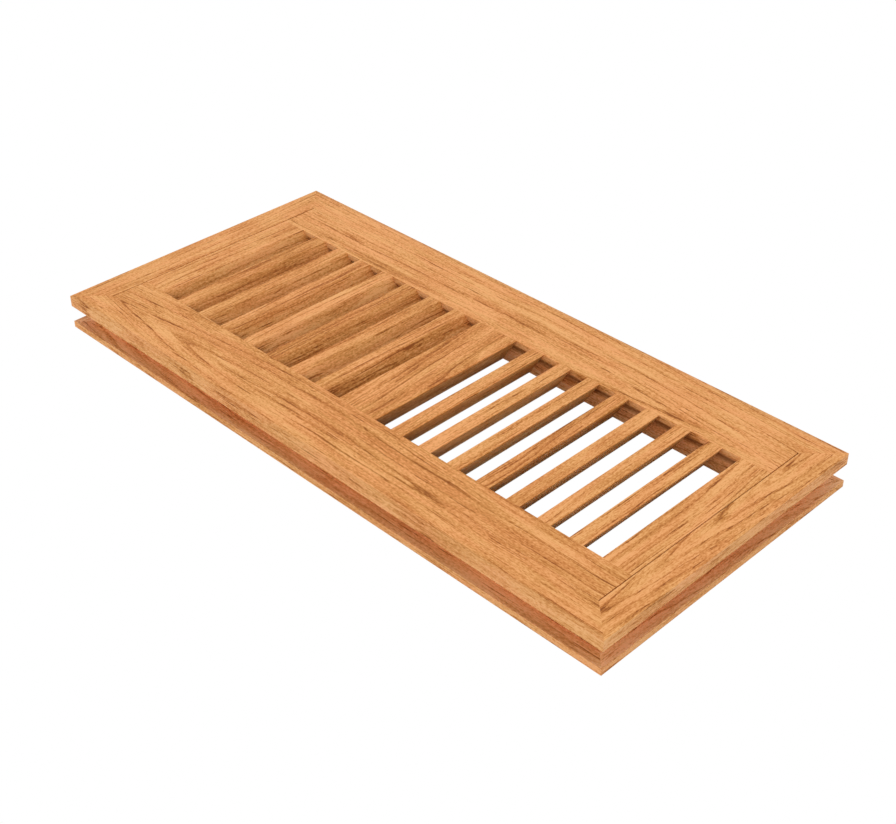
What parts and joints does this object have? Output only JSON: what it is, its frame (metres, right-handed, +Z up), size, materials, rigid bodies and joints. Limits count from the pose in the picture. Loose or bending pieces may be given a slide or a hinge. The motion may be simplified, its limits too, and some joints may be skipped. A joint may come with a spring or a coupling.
{
  "type": "floor register",
  "caption": "Flush-mount wooden floor register: a grooved, mitred frame with a ledge that carries a drop-in grille of mirrored banks of leaning louvres.",
  "frame": {"origin": "centre of the underside", "axes": "+X along the long sides towards the right bank, +Y towards the back rail, +Z up out of the floor"},
  "size_m": [0.381, 0.1778, 0.0198],
  "materials": {
    "frame_wood": "satin",
    "grille_wood": "satin",
    "louvre_wood": "satin"
  },
  "bodies": {
    "root": {"frame_front_rail": "frame_wood", "frame_back_rail": "frame_wood", "frame_left_rail": "frame_wood", "frame_right_rail": "frame_wood", "grille_front_rail": "grille_wood", "grille_back_rail": "grille_wood", "grille_left_end": "grille_wood", "grille_right_end": "grille_wood", "grille_centre_block": "grille_wood", "louvre_left_1": "louvre_wood", "louvre_left_2": "louvre_wood", "louvre_left_3": "louvre_wood", "louvre_left_4": "louvre_wood", "louvre_left_5": "louvre_wood", "louvre_left_6": "louvre_wood", "louvre_left_7": "louvre_wood", "louvre_right_1": "louvre_wood", "louvre_right_2": "louvre_wood", "louvre_right_3": "louvre_wood", "louvre_right_4": "louvre_wood", "louvre_right_5": "louvre_wood", "louvre_right_6": "louvre_wood", "louvre_right_7": "louvre_wood"}
  },
  "joints": []
}
